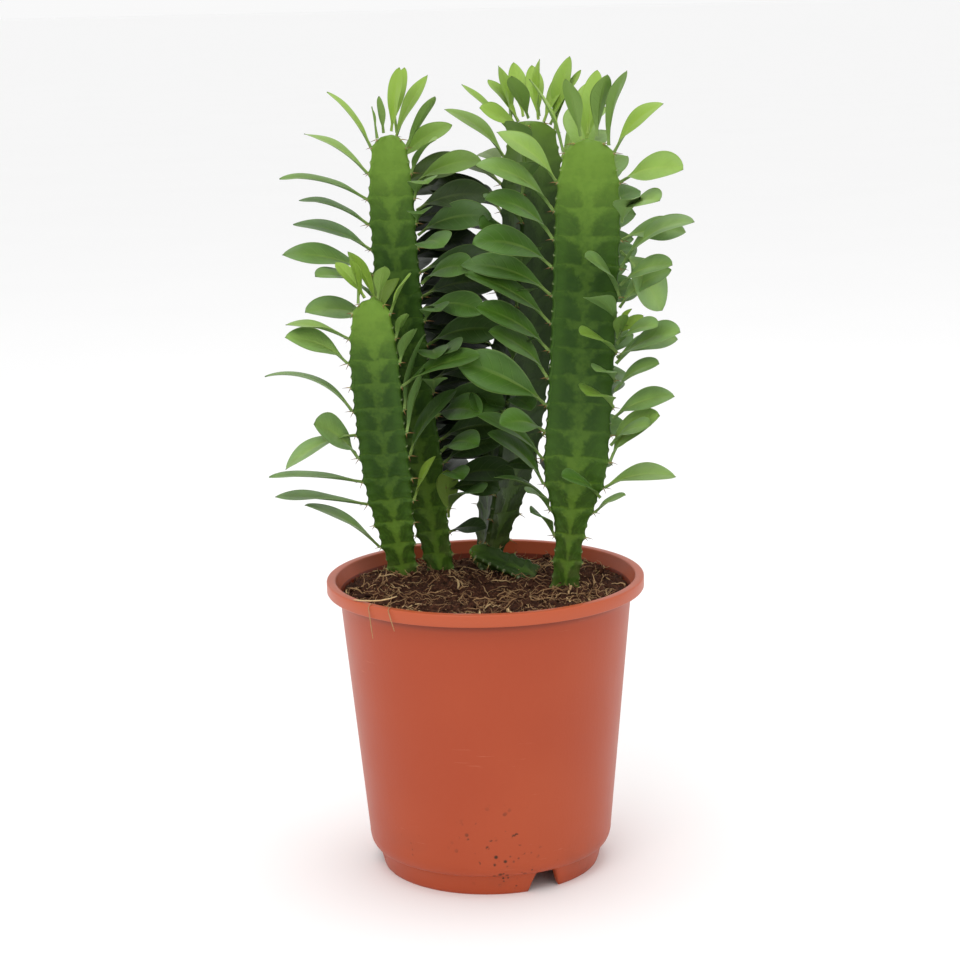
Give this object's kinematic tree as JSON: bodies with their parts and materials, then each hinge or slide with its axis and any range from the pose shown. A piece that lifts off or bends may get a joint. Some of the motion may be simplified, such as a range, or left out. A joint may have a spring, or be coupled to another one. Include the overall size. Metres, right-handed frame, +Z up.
{
  "type": "potted euphorbia",
  "caption": "Upright three-ribbed succulent stems with leaves along their ribs, growing in soil in a round tapered plastic nursery pot with a rolled rim and a notched foot.",
  "frame": {"origin": "centre of the pot's base, on the surface it stands on, which is also the bottom centre of the whole plant's bounding box", "axes": "+Z up along the pot's axis, -Y the front, +X to the right seen from the front"},
  "size_m": [0.2275, 0.17, 0.4307],
  "materials": {
    "pot_plastic": "satin terracotta-coloured injection-moulded plastic, slightly scuffed, with specks of dried soil",
    "potting_soil": "loose reddish-brown peat and coir with pale fibres",
    "stem_green": "waxy green skin, pale band along each face and darker scalloped patches beside it",
    "leaf_green": "smooth leathery green leaf with a paler midrib and edge"
  },
  "bodies": {
    "root": {"leaf_back_east_00": "leaf_green", "leaf_back_east_03": "leaf_green", "leaf_back_east_07": "leaf_green", "leaf_back_south_00": "leaf_green", "leaf_back_south_03": "leaf_green", "leaf_back_west_01": "leaf_green", "leaf_back_west_02": "leaf_green", "leaf_back_west_06": "leaf_green", "leaf_front_left_east_00": "leaf_green", "leaf_front_left_east_02": "leaf_green", "leaf_front_left_north_00": "leaf_green", "leaf_front_left_west_01": "leaf_green", "leaf_front_left_west_02": "leaf_green", "leaf_front_left_west_04": "leaf_green", "leaf_front_left_west_05": "leaf_green", "leaf_front_left_west_07": "leaf_green", "leaf_front_left_west_08": "leaf_green", "leaf_front_left_west_10": "leaf_green", "leaf_right_east_00": "leaf_green", "leaf_right_east_01": "leaf_green", "leaf_right_east_02": "leaf_green", "leaf_right_east_04": "leaf_green", "leaf_right_east_07": "leaf_green", "leaf_right_east_09": "leaf_green", "leaf_right_east_11": "leaf_green", "leaf_right_north_01": "leaf_green", "leaf_right_north_04": "leaf_green", "leaf_right_north_07": "leaf_green", "leaf_right_north_10": "leaf_green", "leaf_right_west_00": "leaf_green", "leaf_right_west_01": "leaf_green", "leaf_right_west_02": "leaf_green", "leaf_right_west_03": "leaf_green", "leaf_right_west_04": "leaf_green", "leaf_right_west_06": "leaf_green", "leaf_right_west_08": "leaf_green", "leaf_right_west_09": "leaf_green", "leaf_right_west_11": "leaf_green", "leaf_right_west_12": "leaf_green", "leaf_tall_left_east_00": "leaf_green", "leaf_tall_left_east_02": "leaf_green", "leaf_tall_left_east_04": "leaf_green", "leaf_tall_left_north_00": "leaf_green", "leaf_tall_left_north_03": "leaf_green", "leaf_tall_left_north_06": "leaf_green", "leaf_tall_left_north_10": "leaf_green", "leaf_tall_left_west_00": "leaf_green", "leaf_tall_left_west_01": "leaf_green", "leaf_tall_left_west_02": "leaf_green", "leaf_tall_left_west_03": "leaf_green", "leaf_tall_left_west_04": "leaf_green", "leaf_tall_left_west_05": "leaf_green", "pot": "pot_plastic", "shoot_low": "stem_green", "soil": "potting_soil", "stem_back": "stem_green", "stem_front_left": "stem_green", "stem_right": "stem_green", "stem_tall_left": "stem_green"}
  },
  "joints": []
}
